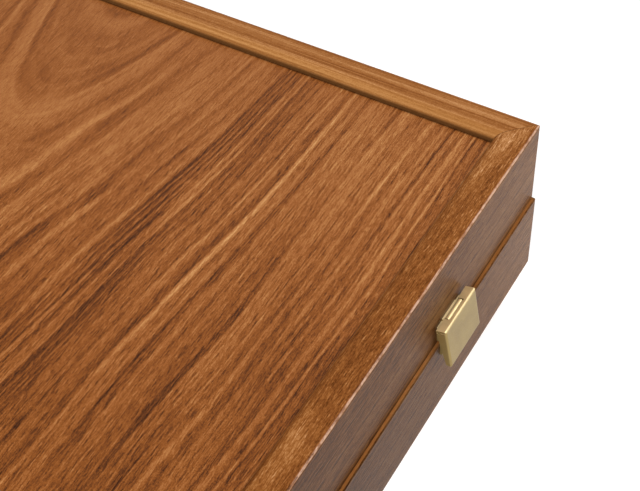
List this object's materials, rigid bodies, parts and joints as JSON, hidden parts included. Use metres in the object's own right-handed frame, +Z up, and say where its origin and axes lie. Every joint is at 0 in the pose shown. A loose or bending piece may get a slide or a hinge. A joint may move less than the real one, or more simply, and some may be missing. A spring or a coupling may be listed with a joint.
{
  "type": "backgammon board",
  "caption": "Folding walnut-finish backgammon case: hinged halves with raised mitred rails, recessed panels, inlaid points inside, side racks with checkers and dice, and brass flap latches.",
  "frame": {"origin": "on the table, under the middle of the closed case with its latches and hinges", "axes": "+X along the latch side, +Y from the latch side to the hinge side, +Z up"},
  "size_m": [0.48, 0.3073, 0.064],
  "materials": {
    "walnut_rail": "satin walnut finish, grain along each rail",
    "walnut_panel": "satin walnut veneer",
    "field_wood": "satin dark walnut veneer",
    "light_inlay": "satin maple inlay",
    "dark_inlay": "satin wenge inlay",
    "light_checker": "polished maple",
    "dark_checker": "polished dark walnut",
    "die_plastic": "glossy ivory with dark pips",
    "satin_brass": "fine satin pale brass",
    "hinge_brass": "satin brass",
    "brass_screw": "bright brass"
  },
  "bodies": {
    "case": {"lower_front_wall": "walnut_rail", "lower_back_wall": "walnut_rail", "lower_left_wall": "walnut_rail", "lower_right_wall": "walnut_rail", "lower_outer_panel": "walnut_panel", "lower_field_board": "field_wood", "lower_light_points": "light_inlay", "lower_dark_points": "dark_inlay", "lower_rack_rail": "walnut_rail", "lower_rack_partitions": "walnut_rail", "lower_hinge_screws": "brass_screw", "left_hinge_lower_leaf": "hinge_brass", "right_hinge_lower_leaf": "hinge_brass", "left_hinge_pin": "hinge_brass", "left_latch_keeper": "satin_brass", "right_hinge_pin": "hinge_brass", "right_latch_keeper": "satin_brass", "latch_keeper_nails": "brass_screw", "light_checkers": "light_checker", "dark_checkers": "dark_checker", "dice": "die_plastic"},
    "lid": {"upper_front_wall": "walnut_rail", "upper_back_wall": "walnut_rail", "upper_left_wall": "walnut_rail", "upper_right_wall": "walnut_rail", "upper_outer_panel": "walnut_panel", "upper_field_board": "field_wood", "upper_light_points": "light_inlay", "upper_dark_points": "dark_inlay", "upper_rack_rail": "walnut_rail", "upper_rack_partitions": "walnut_rail", "upper_hinge_screws": "brass_screw", "left_hinge_upper_leaf": "hinge_brass", "right_hinge_upper_leaf": "hinge_brass", "left_latch_base": "satin_brass", "left_latch_pin": "satin_brass", "right_latch_base": "satin_brass", "right_latch_pin": "satin_brass", "latch_base_nails": "brass_screw"},
    "left_cover": {"left_latch_cover": "satin_brass"},
    "right_cover": {"right_latch_cover": "satin_brass"}
  },
  "joints": [
    {"name": "lid_hinge", "type": "hinge", "parent": "case", "child": "lid", "pos_m": [0, 0.15149, 0.032], "axis": [-1, 0, 0], "range_deg": [0, 180]},
    {"name": "left_latch_hinge", "type": "hinge", "parent": "lid", "child": "left_cover", "pos_m": [-0.1824, -0.14926, 0.0404], "axis": [-1, 0, 0], "range_deg": [0, 92]},
    {"name": "right_latch_hinge", "type": "hinge", "parent": "lid", "child": "right_cover", "pos_m": [0.1824, -0.14926, 0.0404], "axis": [-1, 0, 0], "range_deg": [0, 92]}
  ]
}
